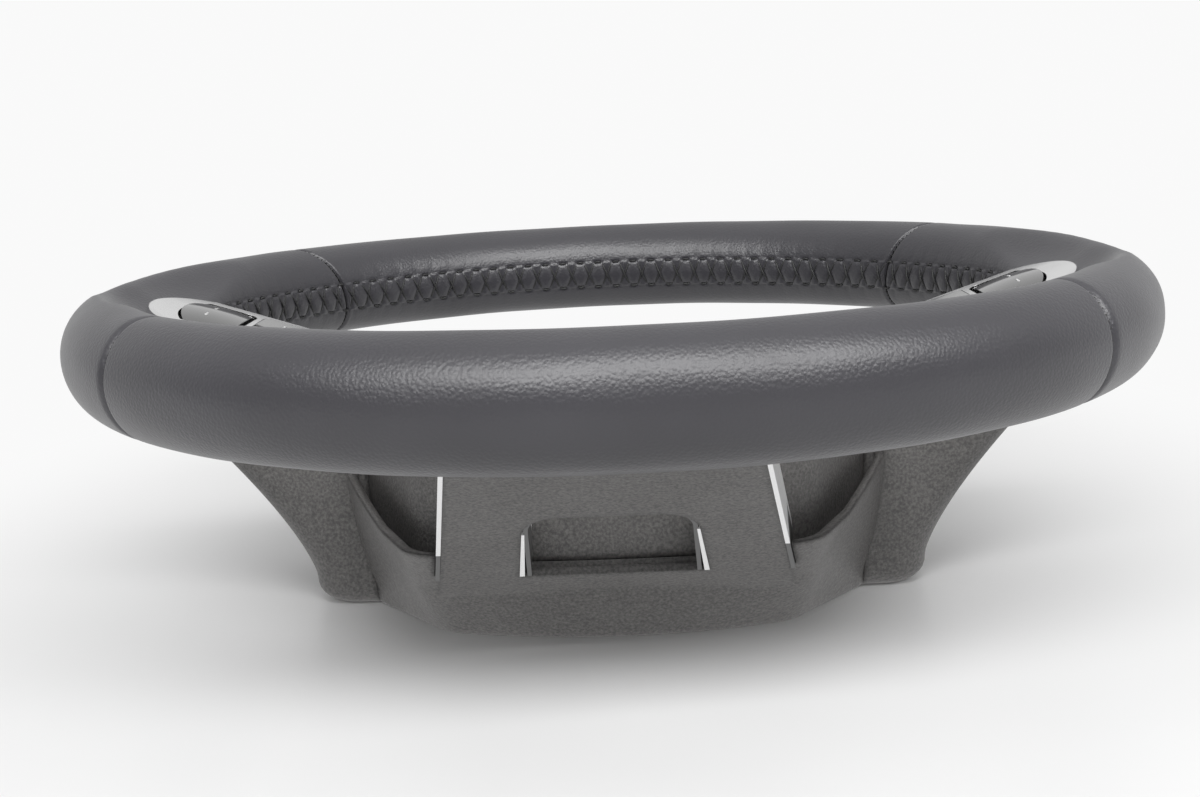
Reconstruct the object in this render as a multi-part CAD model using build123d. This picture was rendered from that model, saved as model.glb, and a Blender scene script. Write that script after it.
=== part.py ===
from build123d import *
import math
import os

# Car steering wheel lying on its back, millimetres, +Z towards the driver.
# The origin is on the wheel's axis, on the plane of the rear cover's lower edge.
# 6 o'clock is -Y and 3 o'clock is +X.

# Rim
rim_outer_diameter = 380.0
rim_width = 33.0
rim_depth = 38.0
rim_plane_height = 97.0
core_width = 13.0
core_height = 14.0
core_corner = 4.0
leather_thickness = 1.4
glue_film = 0.1
lacing_slit = 1.2
seam_gap = 0.5
near_seam_angle = 40.0
far_seam_angle = 43.0

# Clearances
fit = 0.3
snug = 0.1
reveal = 1.2
over = 1.0

# Rear cover bowl: four levels, each with its plan's front, shoulder, side and back
cover_wall = 2.5
wall_slant = 1.3
bowl_base = dict(level=0.0, front=76.0, shoulder=(58.0, 65.0), side=(88.0, 28.0), back=68.0)
bowl_crease = dict(level=22.0, front=89.0, shoulder=(61.0, 87.5), side=(91.0, 33.0), back=74.0)
bowl_edge = dict(level=40.0, front=111.6, shoulder=(62.0, 110.5), side=(92.5, 38.0), back=79.0)
bowl_top = dict(level=58.0, front=134.0, shoulder=(63.0, 133.0), side=(94.0, 38.0), back=83.0)
bowl_corner = 18.0
bowl_back_drop = 9.0
back_side_share = 0.75
lip_round = 2.5
column_hole_diameter = 92.0

# Rear cover wings behind the 9 and 3 o'clock spokes
wing_root = 72.0
wing_base_reach = 107.0
wing_heel = 9.0
wing_flare = 1.5
wing_base_half = 34.0
wing_top_half = 30.5
wing_corner = 14.0
wing_round = 8.0
wing_rim_lap = 11.0
wing_top_drop = 10.0
wing_stations = 5
wing_open = 20.0
edge_lap = 1.0
edge_inset = 9.0
edge_knee = (74.0, 39.5)
edge_rise = (92.0, 50.0)

# Lower spoke
panel_rim_gap = 4.0
panel_rim_drop = 24.0
panel_root_lap = 4.0
panel_proud = 0.6
arm_root_half = 56.0
arm_tip_half = 44.0
window_near = 11.5
window_far = 55.0
window_near_half = 29.5
window_far_half = 25.0
window_corner = 12.0
trim_thickness = 1.4
trim_front = 2.5
trim_depth = 16.5
trim_end = 10.0
trim_window_lap = 2.5

# Bezels and switches, in the plane that slopes from the rim to the hub
bezel_slope = 0.33
bezel_rim_height = 10.4
bezel_rim_offset = 5.0
bezel_half = 28.0
bezel_tip_lap = 10.0
bezel_hub_gap = 1.7
bezel_tip_rise = 17.0
bezel_thickness = 4.5
bezel_plate = 2.5
bezel_round = 1.4
bezel_corner = 5.0
housing_inset = 2.2
housing_wall = 2.0
housing_corner = 4.0
housing_tip_corner = 8.0
deck_drop = 8.0
deck_thickness = 2.0
board_thickness = 1.6
board_lift = 0.3
ledge_height = 1.6
rocker_from_tip = 12.5
rocker_length = 22.0
rocker_half = 20.0
rocker_tip_rise = 5.0
rocker_crown = 1.8
rocker_skirt = 3.0
rocker_pivot_drop = 6.0
rocker_pin_diameter = 2.6
key_gap = 0.9
button_length = 21.0
button_rise = 1.0
button_skirt = 3.5
button_stem = 8.0
button_travel = 1.2
bar_width = 3.2
button_round = 0.8
key_corner = 4.0
stem_reach = 0.6
pivot_post_width = 2.4
pivot_post_height = 7.0
pivot_post_inset = 1.6

# Armature
plate_radius = 62.0
plate_level = 21.0
plate_thickness = 8.0
boss_diameter = 50.0
boss_bottom = 5.0
boss_top = 35.0
spoke_width = 28.0
spoke_thickness = 6.5
spoke_rim_gap = 10.0
spoke_rim_drop = 17.5
spoke_core_drop = 2.0
arm_offset = 37.0
arm_width = 11.0
arm_thickness = 8.0
arm_lift = 2.0
root_lap = 22.0
root_run = 22.0
root_bend = 4.0
lightening_radius = 42.0
lightening_diameter = 18.0
lightening_angles = (60, 120, 240, 300)

# Column fitting
sleeve_diameter = 28.0
sleeve_bottom = 3.0
sleeve_top = 34.0
pilot_diameter = 19.0
pilot_length = 9.0
spline_major = 18.0
spline_minor = 16.4
spline_teeth = 24
spline_shares = (0.0, 0.4, 0.5, 0.9)

# Airbag module and horn
pad_front = 92.0
pad_shoulder = (60.0, 87.0)
pad_side = (86.5, 36.0)
pad_back = 72.0
pad_level = 31.0
pad_crown = 86.0
pad_dome_radius = 420.0
pad_wall = 3.0
pad_corner = 30.0
pad_round = 6.0
pad_notch_arm = (28.0, 54.0)
pad_notch_height = 46.0
pad_side_notch_half = 34.0
pad_side_notch_height = 57.0
frame_half = (41.0, 38.0)
frame_wall = 2.5
carrier_radius = 62.5
carrier_level = 39.0
carrier_thickness = 1.5
carrier_lip = 4.0
inflator_radius = 26.0
inflator_bottom = 38.2
inflator_top = 62.0
inflator_flange = 35.2
inflator_round = 4.0
flange_thickness = 1.6
cushion_top = 74.0
cushion_corner = 10.0
cushion_round = 6.0
stud_radius = 32.0
stud_diameter = 5.0
nut_width = 8.0
nut_height = 2.6
pin_circle = 54.5
pin_diameter = 6.0
pin_head = 11.0
pin_head_height = 2.5
spring_radius = 6.2
spring_wire = 1.6
spring_turns = 3

# Rear cover screws
screw_circle = 54.0
screw_shank = 4.0
screw_head = 8.8
screw_head_height = 2.6
post_diameter = 14.0

spline_steps = (spline_minor, spline_minor, spline_major, spline_major)
rim_centre_radius = rim_outer_diameter / 2 - rim_width / 2
rim_inner_radius = rim_outer_diameter / 2 - rim_width
plate_top = plate_level + plate_thickness
carrier_top = carrier_level + carrier_thickness
button_centre = -rocker_from_tip - rocker_length - bar_width - button_length / 2
pivot_posts = (-rocker_from_tip - rocker_length + pivot_post_inset, -rocker_from_tip - pivot_post_inset)
deck_top = -deck_drop
deck_bottom = deck_top - deck_thickness
board_top = deck_bottom - stem_reach - button_travel - fit
housing_depth = board_thickness + board_lift - board_top
horn_angles = [math.radians(angle) for angle in (90, 210, 330)]
horn_pins = [(pin_circle * math.cos(a), pin_circle * math.sin(a)) for a in horn_angles]
stud_spots = [(sx * stud_radius, 0.0) for sx in (1, -1)] + [(0.0, sy * stud_radius) for sy in (1, -1)]
screw_spot = screw_circle / math.sqrt(2)
screw_spots = [(sx * screw_spot, sy * screw_spot) for sx in (1, -1) for sy in (1, -1)]

# The lower spoke lies in a plane from the bowl's crease up to the rim
panel_rim = (rim_inner_radius - panel_rim_gap, rim_plane_height - panel_rim_drop)
panel_run = panel_rim[0] - bowl_crease["front"]
panel_rise = panel_rim[1] - bowl_crease["level"]
panel_length = math.hypot(panel_run, panel_rise)
spoke_plane = Plane(
    origin=(0, -bowl_crease["front"], bowl_crease["level"]),
    x_dir=(1, 0, 0),
    z_dir=(0, panel_rise, panel_run),
).offset(-panel_proud)

# The right bezel's plane has its origin at the bezel's tip and its x axis points to the rim
bezel_tip_x = rim_inner_radius + bezel_tip_lap
bezel_angle = math.atan(bezel_slope)
bezel_length = (bezel_tip_x - pad_side[0] - bezel_hub_gap) / math.cos(bezel_angle)
bezel_tip_z = rim_plane_height + bezel_rim_height + (bezel_tip_lap - bezel_rim_offset) * bezel_slope
bezel_plane = Plane(
    origin=(bezel_tip_x, 0, bezel_tip_z),
    x_dir=(math.cos(bezel_angle), 0, math.sin(bezel_angle)),
    z_dir=(-math.sin(bezel_angle), 0, math.cos(bezel_angle)),
)


def block(plane, sketch, low, high):
    # A sketch raised between two levels above a plane
    return extrude(plane.offset(low) * sketch, amount=high - low)


def post(x, y, diameter, low, high):
    # An upright round post
    return Pos(x, y, low) * extrude(Circle(diameter / 2), amount=high - low)


def band(points, thickness):
    # A flat strip of even thickness along a bent centre line
    half = thickness / 2
    left, right = [], []
    for i, point in enumerate(points):
        before = points[max(i - 1, 0)]
        after = points[min(i + 1, len(points) - 1)]
        legs = [(point, after)] if i == 0 else [(before, point)]
        if 0 < i < len(points) - 1:
            legs = [(before, point), (point, after)]
        normals = []
        for a, b in legs:
            length = math.hypot(b[0] - a[0], b[1] - a[1])
            normals.append((-(b[1] - a[1]) / length, (b[0] - a[0]) / length))
        nx = sum(n[0] for n in normals) / len(normals)
        ny = sum(n[1] for n in normals) / len(normals)
        scale = half / (nx * nx + ny * ny)
        left.append((point[0] + nx * scale, point[1] + ny * scale))
        right.append((point[0] - nx * scale, point[1] - ny * scale))
    return make_face(Polyline(*left, *reversed(right), close=True))


def rim_face(inset):
    # The rim's oval section, moved in by an inset
    across = rim_width / 2 - inset
    along = rim_depth / 2 - inset
    halves = [EllipticalCenterArc((0, 0), across, along, start, arc_size=180) for start in (0, 180)]
    return Plane.XZ * Pos(rim_centre_radius, rim_plane_height) * make_face(halves)


def rim_ring(section):
    # A full ring of a rim section, begun at 12 o'clock where no spoke meets it
    return revolve(Rot(0, 0, 90) * section, axis=Axis.Z)


def tongue(back, front, rise, half, corner):
    # A plate outline with a straight back end and a rounded front tip
    shoulder = front - rise
    lines = [
        Line((back, half), (back, -half)),
        Line((back, -half), (shoulder, -half)),
        ThreePointArc((shoulder, -half), (front, 0), (shoulder, half)),
        Line((shoulder, half), (back, half)),
    ]
    face = make_face(lines)
    return fillet(face.vertices().group_by(Axis.X)[0], corner)


def bezel_outline(margin):
    corner = bezel_corner + margin
    return tongue(-bezel_length - margin, margin, bezel_tip_rise, bezel_half + margin, corner)


def rocker_outline(margin):
    front = -rocker_from_tip + margin
    back = -rocker_from_tip - rocker_length - margin
    return tongue(back, front, rocker_tip_rise, rocker_half + margin, key_corner)


def hub_outline(front, shoulder, side, back, corner, back_drop):
    # The hub's plan outline: bowed front and back, slanted shoulders and straight sides
    sx, sy = shoulder
    wx, wy = side
    by = back - back_drop
    lines = [
        ThreePointArc((-sx, -sy), (0, -front), (sx, -sy)),
        Line((sx, -sy), (wx, -wy)),
        Line((wx, -wy), (wx, wy * back_side_share)),
        Line((wx, wy * back_side_share), (sx, by)),
        ThreePointArc((sx, by), (0, back), (-sx, by)),
        Line((-sx, by), (-wx, wy * back_side_share)),
        Line((-wx, wy * back_side_share), (-wx, -wy)),
        Line((-wx, -wy), (-sx, -sy)),
    ]
    face = make_face(lines)
    return fillet(face.vertices(), corner)


def bowl_section(station, inset):
    outline = hub_outline(
        station["front"], station["shoulder"], station["side"],
        station["back"], bowl_corner, bowl_back_drop,
    )
    return offset(outline, amount=-inset) if inset else outline


def bowl(inset, floor):
    # The bowl's flared wall between four levels of its plan outline
    sections = []
    for station in (bowl_base, bowl_crease, bowl_edge, bowl_top):
        level = max(station["level"], floor)
        sections.append(Pos(0, 0, level) * bowl_section(station, inset))
    return loft(sections, ruled=True)


def wing(inset, root):
    # The right wing: rounded plan sections that flare from the base out to the rim
    top = rim_plane_height - wing_top_drop
    levels = [inset, wing_heel + inset]
    rise = (top - wing_heel - inset) / wing_stations
    levels += [wing_heel + inset + rise * i for i in range(1, wing_stations + 1)]
    rim_reach = rim_inner_radius + wing_rim_lap
    sections = []
    for level in levels:
        share = max(0.0, (level - wing_heel) / (top - wing_heel))
        reach = wing_base_reach + (rim_reach - wing_base_reach) * share ** wing_flare - inset
        half = wing_base_half + (wing_top_half - wing_base_half) * share - inset
        outline = RectangleRounded(reach - root, 2 * half, wing_corner - inset)
        sections.append(Pos((reach + root) / 2, 0, level) * outline)
    body = loft(sections)
    heel = body.edges().group_by(Axis.Z)[0]
    return fillet(heel, wing_round - inset)


def arm_outline(margin, near, far):
    # The lower spoke's plan, tapering to the rim, in the spoke's own plane
    def half(distance):
        return arm_root_half + (arm_tip_half - arm_root_half) * distance / panel_length + margin
    corners = [(half(near), -near), (half(far), -far), (-half(far), -far), (-half(near), -near)]
    return make_face(Polyline(*corners, close=True))


def window_outline(margin, near, far):
    # The arched window of the lower spoke
    n = window_near_half + margin
    f = window_far_half + margin
    face = make_face(Polyline((n, -near), (f, -far), (-f, -far), (-n, -near), close=True))
    return fillet(face.vertices().group_by(Axis.Y)[0], window_corner)


def upper_edge():
    # Everything above the rear cover's upper edge, seen from the front
    drop = housing_depth - edge_lap
    far_x = rim_centre_radius
    def under_bezel(x):
        return bezel_tip_z - (bezel_tip_x - x) * bezel_slope - drop / math.cos(bezel_angle)
    wall_x = bezel_tip_x - bezel_length * math.cos(bezel_angle) + edge_inset
    sky = rim_plane_height + rim_depth
    right = [
        edge_knee, edge_rise, (wall_x, under_bezel(wall_x)),
        (far_x, under_bezel(far_x)), (far_x, sky),
    ]
    left = [(-x, z) for x, z in reversed(right)]
    return make_face(Plane.XZ * Polyline(*right, *left, close=True))


def make_rear_cover():
    shell = bowl(0, 0)
    shell = fillet(shell.edges().group_by(Axis.Z)[0], lip_round)
    right_wing = wing(0, wing_root)
    shell = shell + right_wing + mirror(right_wing, about=Plane.YZ)
    hollow = wing(cover_wall, wing_root - wing_open)
    shell -= bowl(cover_wall * wall_slant, cover_wall)
    shell -= hollow
    shell -= mirror(hollow, about=Plane.YZ)
    shell -= extrude(upper_edge(), amount=rim_outer_diameter, both=True)
    reach = panel_length + rim_width
    room = arm_outline(trim_thickness + fit + snug, trim_end - fit, reach)
    shell -= block(spoke_plane, room, -fit, trim_depth + rim_depth)
    plate = block(spoke_plane, arm_outline(0, -panel_root_lap, reach), 0, cover_wall)
    shell += plate
    shell -= block(spoke_plane, window_outline(0, window_near, window_far), -rim_depth, rim_depth)
    for x, y in screw_spots:
        shell += post(x, y, post_diameter, 0, plate_level)
    for x, y in screw_spots:
        shell -= post(x, y, screw_shank + 2 * fit, 0, plate_level)
        shell -= post(x, y, screw_head + 2 * fit, 0, screw_head_height + fit)
    shell -= post(0, 0, column_hole_diameter, -over, cover_wall + over)
    return shell - rim_ring(rim_face(-fit))


def make_lower_spoke_trim():
    reach = panel_length + rim_width
    lap = trim_thickness + snug
    outer = arm_outline(lap, trim_end, reach)
    outer -= window_outline(-lap, -rim_depth, window_far + trim_window_lap)
    inner = arm_outline(snug, -rim_depth, reach)
    inner -= window_outline(-snug, -rim_depth - over, window_far + trim_window_lap)
    trim = block(spoke_plane, outer, 0, trim_depth)
    trim -= block(spoke_plane, inner, -over, trim_depth - trim_front)
    plate = arm_outline(snug, -panel_root_lap, reach) - window_outline(-snug, window_near, window_far)
    trim -= block(spoke_plane, plate, -over, cover_wall + fit)
    trim -= extrude(pad_outline(-reveal), amount=rim_plane_height)
    return trim - rim_ring(rim_face(-fit))


def make_armature():
    core_section = RectangleRounded(core_width, core_height, core_corner)
    core_section = Plane.XZ * Pos(rim_centre_radius, rim_plane_height) * core_section
    core = rim_ring(core_section)
    plate = post(0, 0, 2 * plate_radius, plate_level, plate_top)
    boss = post(0, 0, boss_diameter, boss_bottom, boss_top)
    middle = plate_level + plate_thickness / 2
    wing_line = [
        (plate_radius - root_lap, middle), (plate_radius + root_run, middle),
        (rim_inner_radius - spoke_rim_gap, rim_plane_height - spoke_rim_drop),
        (rim_centre_radius, rim_plane_height - spoke_core_drop),
    ]
    wing_spoke = extrude(Plane.XZ * band(wing_line, spoke_thickness), amount=spoke_width / 2, both=True)
    lift = cover_wall + arm_lift + arm_thickness / 2
    def on_spoke(distance):
        spot = spoke_plane.from_local_coords(Vector(0, -distance, lift))
        return (spot.Y, spot.Z)
    arm_line = [
        (-plate_radius + root_lap, middle), on_spoke(-root_bend),
        on_spoke(panel_length), (-rim_centre_radius, rim_plane_height),
    ]
    arm = extrude(Plane.YZ * band(arm_line, arm_thickness), amount=arm_width / 2, both=True)
    casting = core + plate + boss + wing_spoke + mirror(wing_spoke, about=Plane.YZ)
    casting = casting + Pos(arm_offset, 0, 0) * arm + Pos(-arm_offset, 0, 0) * arm
    for angle in lightening_angles:
        x = lightening_radius * math.cos(math.radians(angle))
        y = lightening_radius * math.sin(math.radians(angle))
        casting -= post(x, y, lightening_diameter, plate_level - over, plate_top + over)
    for x, y in horn_pins:
        casting -= post(x, y, pin_diameter + snug, plate_level - over, plate_top + over)
    for x, y in screw_spots:
        casting -= post(x, y, screw_shank + snug, plate_level - over, plate_top + over)
    return casting - post(0, 0, sleeve_diameter + snug, 0, boss_top + over)


def make_hub_sleeve():
    sleeve = post(0, 0, sleeve_diameter, sleeve_bottom, sleeve_top)
    sleeve -= post(0, 0, pilot_diameter, sleeve_bottom - over, sleeve_bottom + pilot_length)
    points = []
    for i in range(spline_teeth):
        for share, diameter in zip(spline_shares, spline_steps):
            angle = 2 * math.pi * (i + share) / spline_teeth
            points.append((diameter / 2 * math.cos(angle), diameter / 2 * math.sin(angle)))
    spline = make_face(Polyline(*points, close=True))
    return sleeve - Pos(0, 0, sleeve_bottom) * extrude(spline, amount=sleeve_top)


def rim_pockets():
    # Where the bezel and its switch housing are let into the right side of the rim
    seat = block(bezel_plane, bezel_outline(reveal), -bezel_thickness - fit, rim_depth)
    well = block(bezel_plane, housing_outline(reveal, bezel_half), -housing_depth - fit, rim_depth)
    return seat + well


def make_leather(start, end, cuts):
    gap = math.degrees(seam_gap / 2 / rim_centre_radius)
    slit = Rectangle(3 * leather_thickness, lacing_slit)
    inner_edge = Plane.XZ * Pos(rim_inner_radius, rim_plane_height) * slit
    section = rim_face(0) - rim_face(leather_thickness) - inner_edge
    panel = revolve(Rot(0, 0, start + gap) * section, axis=Axis.Z, revolution_arc=end - start - 2 * gap)
    for cut in cuts:
        panel -= cut
    return panel


def make_foam(armature, pockets):
    foam = rim_ring(rim_face(leather_thickness + glue_film))
    for pocket in pockets:
        foam -= pocket
    return foam - armature


def housing_outline(margin, half):
    # The switch housing's plan, stopped short of the rim's core
    back = -bezel_length + housing_inset - margin
    front = -rocker_from_tip + key_gap + housing_wall + margin
    outline = tongue(back, front, rocker_tip_rise, half + margin, housing_corner)
    return fillet(outline.vertices().group_by(Axis.X)[-1], housing_tip_corner + margin)


def make_bezel():
    bezel = block(bezel_plane, bezel_outline(0), -bezel_thickness, 0)
    top = bezel.faces().sort_by(Axis((0, 0, 0), bezel_plane.z_dir))[-1]
    bezel = fillet(top.edges(), bezel_round)
    under = bezel_outline(-housing_inset + snug)
    bezel -= block(bezel_plane, under, -bezel_thickness - over, -bezel_plate)
    bezel -= block(bezel_plane, rocker_outline(key_gap), -bezel_thickness, over)
    return bezel - block(bezel_plane, button_window(), -bezel_thickness, over)


def button_window():
    width = button_length + 2 * fit
    return Pos(button_centre, 0) * RectangleRounded(width, 2 * rocker_half, key_corner)


def pin_along(start, end, diameter):
    # A round pin along the rocker's axis, which points from the hub to the rim
    foot = bezel_plane.from_local_coords(Vector(start, 0, -rocker_pivot_drop))
    plane = Plane(origin=foot, z_dir=bezel_plane.x_dir)
    return extrude(plane * Circle(diameter / 2), amount=end - start)


def make_switch_housing():
    body_half = bezel_half - housing_inset
    body = block(bezel_plane, housing_outline(0, body_half), -housing_depth, -bezel_plate - snug)
    flange_half = wing_top_half - cover_wall - fit
    ledge_top = ledge_height - housing_depth
    ledge = block(bezel_plane, housing_outline(0, flange_half), -housing_depth, ledge_top)
    inner = housing_outline(-housing_wall, body_half)
    body = body + ledge
    body -= block(bezel_plane, inner, deck_top, over)
    body -= block(bezel_plane, inner, -housing_depth - over, deck_bottom)
    hole = button_stem + 2 * fit
    for side in (1, -1):
        spot = Pos(button_centre, side * rocker_half / 2) * Rectangle(hole, hole)
        body -= block(bezel_plane, spot, deck_bottom - over, deck_top + over)
    for u in pivot_posts:
        upright = Pos(u, 0) * Rectangle(pivot_post_width, pivot_post_height)
        body += block(bezel_plane, upright, deck_top, -rocker_skirt - 2 * fit)
    return body - pin_along(pivot_posts[0] - pivot_post_width, pivot_posts[1] + pivot_post_width,
                            rocker_pin_diameter + fit)


def make_circuit_board():
    outline = housing_outline(-housing_wall - snug, bezel_half - housing_inset)
    return block(bezel_plane, outline, board_top - board_thickness, board_top)


def make_rocker():
    cap = block(bezel_plane, rocker_outline(0), -rocker_skirt, 2 * rocker_crown)
    radius = rocker_half ** 2 / (2 * rocker_crown)
    middle = -rocker_from_tip - rocker_length / 2
    cap = cap & bezel_plane * Pos(middle, 0, rocker_crown - radius) * Sphere(radius)
    inner_near = pivot_posts[0] + pivot_post_width / 2 + fit
    inner_far = pivot_posts[1] - pivot_post_width / 2 - fit
    web_middle = (inner_near + inner_far) / 2
    web_outline = Pos(web_middle, 0) * Rectangle(inner_far - inner_near, pivot_post_height)
    web_low = -rocker_pivot_drop - rocker_pin_diameter / 2
    web = block(bezel_plane, web_outline, web_low, -rocker_skirt)
    pin = pin_along(pivot_posts[0] - pivot_post_width / 2, pivot_posts[1] + pivot_post_width / 2,
                    rocker_pin_diameter)
    return cap + web + pin


def make_button(side):
    height = rocker_half - fit - key_gap / 2
    centre = side * (key_gap / 2 + height / 2)
    outline = Pos(button_centre, centre) * RectangleRounded(button_length, height, key_corner - fit)
    cap = block(bezel_plane, outline, -button_skirt, button_rise)
    top = cap.faces().sort_by(Axis((0, 0, 0), bezel_plane.z_dir))[-1]
    cap = fillet(top.edges(), button_round)
    stem = Pos(button_centre, side * rocker_half / 2) * Rectangle(button_stem, button_stem)
    return cap + block(bezel_plane, stem, deck_bottom - stem_reach, -button_skirt)


def pad_outline(inset):
    outline = hub_outline(pad_front, pad_shoulder, pad_side, pad_back, pad_corner, bowl_back_drop)
    return offset(outline, amount=-inset) if inset else outline


def pad_body(inset, low):
    # The airbag cover's outer form, or its inner one, under a shallow dome
    body = Pos(0, 0, low) * extrude(pad_outline(inset), amount=pad_crown - low)
    dome = Pos(0, 0, pad_crown - pad_dome_radius) * Sphere(pad_dome_radius - inset)
    return body & dome


def make_airbag_cover():
    cover = pad_body(0, pad_level)
    cover = fillet(cover.faces().sort_by(Axis.Z)[-1].edges(), pad_round)
    hollow = pad_body(pad_wall, pad_level - over)
    cover -= hollow
    fx, fy = frame_half
    frame = Rectangle(2 * fx, 2 * fy) - Rectangle(2 * (fx - frame_wall), 2 * (fy - frame_wall))
    walls = Pos(0, 0, carrier_top) * extrude(frame, amount=pad_crown - carrier_top)
    cover += walls & pad_body(pad_wall / 2, pad_level)
    near, far = pad_notch_arm
    notch_height = 2 * (pad_notch_height - pad_level)
    notch = Pos((near + far) / 2, -pad_front, pad_level) * Box(far - near, pad_front, notch_height)
    cover -= notch
    cover -= mirror(notch, about=Plane.YZ)
    side_height = 2 * (pad_side_notch_height - pad_level)
    return cover - Pos(0, 0, pad_level) * (
        Box(3 * pad_side[0], 2 * pad_side_notch_half, side_height)
        - Box(2 * pad_side[0] - 4 * pad_wall, 3 * pad_side_notch_half, 2 * side_height)
    )


def make_airbag_carrier():
    carrier = post(0, 0, 2 * carrier_radius, carrier_level, carrier_top + carrier_lip)
    carrier -= post(0, 0, 2 * (carrier_radius - carrier_thickness), carrier_top, carrier_top + carrier_lip)
    carrier -= post(0, 0, 2 * (inflator_radius + fit), carrier_level - over, carrier_top + over)
    for x, y in horn_pins:
        carrier -= post(x, y, pin_diameter + 2 * fit, carrier_level - over, carrier_top + over)
    for x, y in stud_spots:
        carrier -= post(x, y, stud_diameter + fit, carrier_level - over, carrier_top + over)
    return carrier


def make_inflator():
    body = post(0, 0, 2 * inflator_radius, inflator_bottom, inflator_top)
    body = fillet(body.edges().group_by(Axis.Z)[-1], inflator_round)
    body += post(0, 0, 2 * inflator_flange, carrier_top, carrier_top + flange_thickness)
    for x, y in stud_spots:
        body += post(x, y, stud_diameter, carrier_level - nut_height, carrier_top)
    return body


def make_inflator_nuts():
    nut = RegularPolygon(nut_width / 2, 6, major_radius=False) - Circle((stud_diameter + snug) / 2)
    low = carrier_level - nut_height
    return [Pos(x, y, low) * extrude(nut, amount=nut_height) for x, y in stud_spots]


def make_airbag_cushion():
    fx, fy = frame_half
    width = 2 * (fx - frame_wall - fit)
    height = 2 * (fy - frame_wall - fit)
    low = carrier_top + flange_thickness
    outline = RectangleRounded(width, height, cushion_corner)
    pack = Pos(0, 0, low) * extrude(outline, amount=cushion_top - low)
    pack = fillet(pack.edges().group_by(Axis.Z)[-1], cushion_round)
    return pack - post(0, 0, 2 * (inflator_radius + fit), low - over, inflator_top + fit)


def make_horn_springs():
    rise = carrier_level - plate_top - spring_wire - 2 * snug
    path = Helix(pitch=rise / spring_turns, height=rise, radius=spring_radius)
    section = Plane(origin=path @ 0, z_dir=path % 0) * Circle(spring_wire / 2)
    coil = sweep(section, path=path)
    return [Pos(x, y, plate_top + snug + spring_wire / 2) * coil for x, y in horn_pins]


def make_horn_pins():
    pins = []
    for x, y in horn_pins:
        pin = post(x, y, pin_diameter, plate_level, carrier_top + snug)
        pins.append(pin + post(x, y, pin_head, carrier_top + snug, carrier_top + snug + pin_head_height))
    return pins


def make_rear_cover_screws():
    screws = []
    for x, y in screw_spots:
        head = post(x, y, screw_head, fit, fit + screw_head_height)
        screws.append(head + post(x, y, screw_shank, fit + screw_head_height, plate_top))
    return screws


right_pockets = rim_pockets()
left_pockets = mirror(right_pockets, about=Plane.YZ)
armature = make_armature()
nodes = {
    "armature": armature,
    "hub_sleeve": make_hub_sleeve(),
    "rim_foam": make_foam(armature, [right_pockets, left_pockets]),
    "leather_bottom": make_leather(180 + near_seam_angle, 360 - near_seam_angle, [armature]),
    "leather_right": make_leather(-near_seam_angle, far_seam_angle, [right_pockets, armature]),
    "leather_top": make_leather(far_seam_angle, 180 - far_seam_angle, []),
    "leather_left": make_leather(180 - far_seam_angle, 180 + near_seam_angle, [left_pockets, armature]),
    "rear_cover": make_rear_cover(),
    "lower_spoke_trim": make_lower_spoke_trim(),
    "airbag_cover": make_airbag_cover(),
    "airbag_carrier": make_airbag_carrier(),
    "airbag_cushion": make_airbag_cushion(),
    "inflator": make_inflator(),
    "inflator_nuts": make_inflator_nuts(),
    "horn_springs": make_horn_springs(),
    "horn_guide_pins": make_horn_pins(),
    "rear_cover_screws": make_rear_cover_screws(),
}
right_side = {
    "bezel": make_bezel(),
    "switch_housing": make_switch_housing(),
    "circuit_board": make_circuit_board(),
    "thumb_rocker": make_rocker(),
    "upper_button": make_button(1),
    "lower_button": make_button(-1),
}
for name, piece in right_side.items():
    nodes["right_" + name] = piece
    nodes["left_" + name] = mirror(piece, about=Plane.YZ)

os.makedirs("parts", exist_ok=True)
for name, piece in nodes.items():
    solids = piece if isinstance(piece, list) else [piece]
    export_step(Compound(children=[s for item in solids for s in item.solids()]), "parts/" + name + ".step")
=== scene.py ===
import bpy
import bmesh
import math
import numpy as np
from mathutils import Matrix, Vector


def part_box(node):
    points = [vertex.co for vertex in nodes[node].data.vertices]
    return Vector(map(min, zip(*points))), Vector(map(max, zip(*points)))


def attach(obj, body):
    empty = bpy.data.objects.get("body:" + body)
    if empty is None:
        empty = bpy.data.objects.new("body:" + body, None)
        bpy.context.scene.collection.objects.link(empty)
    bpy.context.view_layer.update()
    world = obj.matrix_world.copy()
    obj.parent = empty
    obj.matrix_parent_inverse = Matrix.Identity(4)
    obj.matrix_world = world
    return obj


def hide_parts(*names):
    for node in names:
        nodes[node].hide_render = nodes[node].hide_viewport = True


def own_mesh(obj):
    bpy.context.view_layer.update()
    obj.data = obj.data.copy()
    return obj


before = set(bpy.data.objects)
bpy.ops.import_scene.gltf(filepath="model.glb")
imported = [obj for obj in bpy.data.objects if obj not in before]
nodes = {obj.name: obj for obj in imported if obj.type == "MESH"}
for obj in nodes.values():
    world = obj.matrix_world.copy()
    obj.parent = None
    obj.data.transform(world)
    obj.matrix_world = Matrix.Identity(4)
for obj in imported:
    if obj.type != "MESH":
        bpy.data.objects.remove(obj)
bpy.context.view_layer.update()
mm = 0.001
# the lower spoke's own axes: up to the driver, along to the rim, and its root, in millimetres
spoke = dict(root=(0.0, -89.37, 21.53), along=(0.0, -0.78205, 0.62320), up=(0.0, 0.62320, 0.78205))
print("frame loaded:", len(nodes), "nodes")


# mesh helpers

def gridQuads(rows, cols, closeCols=False):
    # quads of a grid of points, numbered row by row, whose columns may meet again
    index = np.arange(rows * cols).reshape(rows, cols)
    if closeCols:
        index = np.hstack([index, index[:, :1]])
    corners = [index[:-1, :-1], index[1:, :-1], index[1:, 1:], index[:-1, 1:]]
    return np.stack(corners, axis=-1).reshape(-1, 4)


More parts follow.
